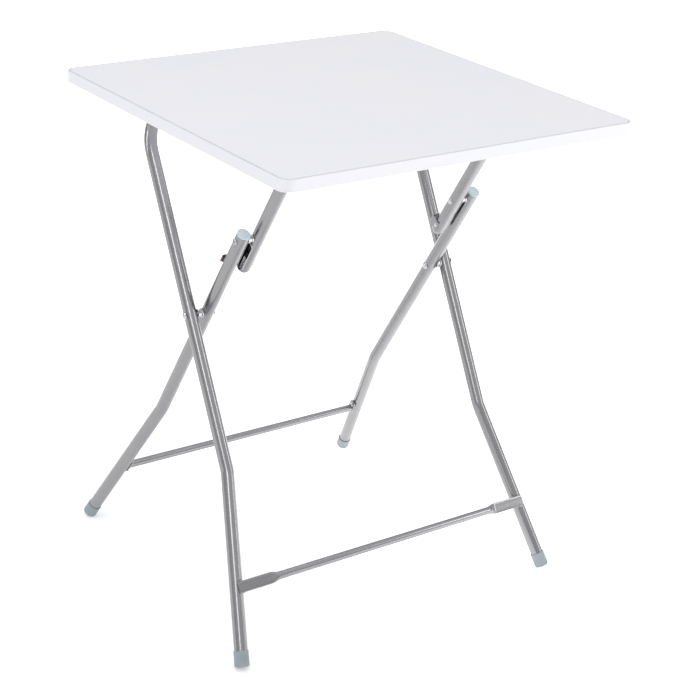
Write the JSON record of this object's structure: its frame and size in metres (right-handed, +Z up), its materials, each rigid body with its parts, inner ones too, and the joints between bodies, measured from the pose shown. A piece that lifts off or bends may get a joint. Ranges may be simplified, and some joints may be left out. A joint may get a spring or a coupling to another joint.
{
  "type": "folding table",
  "caption": "Square folding table with a thin white top on crossed steel tube legs; a U-shaped bracket with knee joints props the top and lets it fold flat.",
  "frame": {"origin": "on the floor, under the middle of the table's overall box", "axes": "+Z up; X runs across the crossed legs, with the outer frame's feet at +X; Y runs along the rails and the fold's hinges, and the table is the same on both sides of Y = 0"},
  "size_m": [0.6164, 0.6, 0.769],
  "materials": {
    "board": "white melamine laminate on chipboard, smooth satin",
    "edge_band": "white moulded edge band, satin",
    "leg_steel": "satin zinc-plated steel tube, drawn along its length",
    "rail_steel": "satin zinc-plated steel tube",
    "plate_steel": "pressed sheet steel, zinc plated",
    "fastener_steel": "bright plated steel",
    "cap_plastic": "light blue-grey moulded plastic",
    "end_cap_plastic": "pale blue-grey moulded plastic",
    "stop_rubber": "dark brown rubber"
  },
  "bodies": {
    "outer_frame": {"outer_leg_near": "leg_steel", "outer_leg_far": "leg_steel", "outer_crossbar": "leg_steel", "outer_rail": "rail_steel", "outer_rail_welds": "rail_steel", "outer_foot_near": "cap_plastic", "outer_foot_far": "cap_plastic", "cross_pin_near": "fastener_steel", "cross_pin_far": "fastener_steel"},
    "tabletop": {"tabletop_board": "board", "tabletop_edge": "edge_band", "outer_saddle_near": "cap_plastic", "outer_saddle_far": "cap_plastic", "bracket_saddle_near": "cap_plastic", "bracket_saddle_far": "cap_plastic", "saddle_screws": "fastener_steel"},
    "inner_legs": {"inner_leg_near": "leg_steel", "inner_leg_far": "leg_steel", "inner_rail": "rail_steel", "inner_rail_rivets": "fastener_steel", "inner_foot_near": "cap_plastic", "inner_foot_far": "cap_plastic", "leg_cap_near": "end_cap_plastic", "leg_cap_far": "end_cap_plastic", "knee_pin_near": "fastener_steel", "knee_pin_far": "fastener_steel"},
    "support_bracket": {"bracket_arm_near": "leg_steel", "bracket_arm_far": "leg_steel", "bracket_crossbar": "leg_steel", "knee_stub_near": "fastener_steel", "knee_stub_far": "fastener_steel", "stop_plate_near": "plate_steel", "stop_plate_far": "plate_steel", "stop_pad_near": "stop_rubber", "stop_pad_far": "stop_rubber", "stop_rivets": "fastener_steel", "lock_spring_near": "fastener_steel", "lock_spring_far": "fastener_steel"}
  },
  "joints": [
    {"name": "top_fold", "type": "hinge", "parent": "outer_frame", "child": "tabletop", "pos_m": [-0.17238, 0, 0.74], "axis": [0, 1, 0], "range_deg": [0, 56]},
    {"name": "leg_fold", "type": "hinge", "parent": "outer_frame", "child": "inner_legs", "pos_m": [-0.02026, 0, 0.4575], "axis": [0, -1, 0], "range_deg": [0, 57.26]},
    {"name": "bracket_fold", "type": "hinge", "parent": "tabletop", "child": "support_bracket", "pos_m": [0.15421, 0, 0.74], "axis": [0, 1, 0], "range_deg": [0, 55.63]}
  ],
  "couplings": [
    {"joint": "leg_fold", "follows": "top_fold", "ratio": 1.0223},
    {"joint": "bracket_fold", "follows": "top_fold", "ratio": 0.9932}
  ]
}
